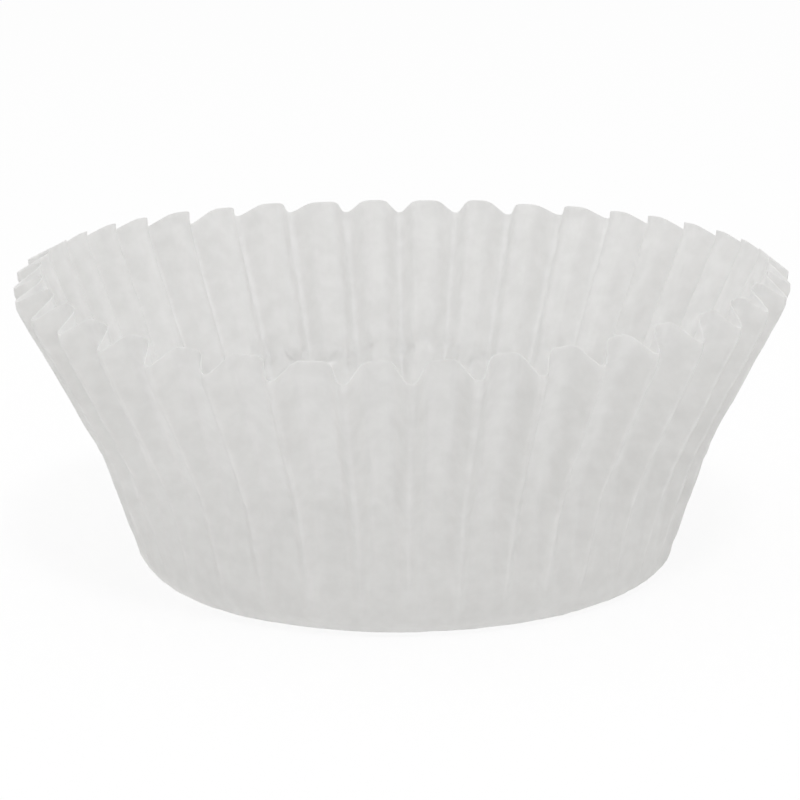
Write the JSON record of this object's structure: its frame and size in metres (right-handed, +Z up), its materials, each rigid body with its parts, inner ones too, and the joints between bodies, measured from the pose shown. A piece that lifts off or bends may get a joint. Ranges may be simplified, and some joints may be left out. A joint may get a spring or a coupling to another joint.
{
  "type": "cupcake liner",
  "caption": "Round fluted paper baking cup with a flat floor, a pleated wall that flares out above a waist, and a scalloped open rim.",
  "frame": {"origin": "middle of the underside of the flat floor", "axes": "+Z up through the open mouth; +X through the crest of one outward fold"},
  "size_m": [0.0776, 0.0776, 0.0293],
  "materials": {
    "paper": "thin white greaseproof paper, matt with a faint sheen"
  },
  "bodies": {
    "root": {"liner": "paper"}
  },
  "joints": []
}
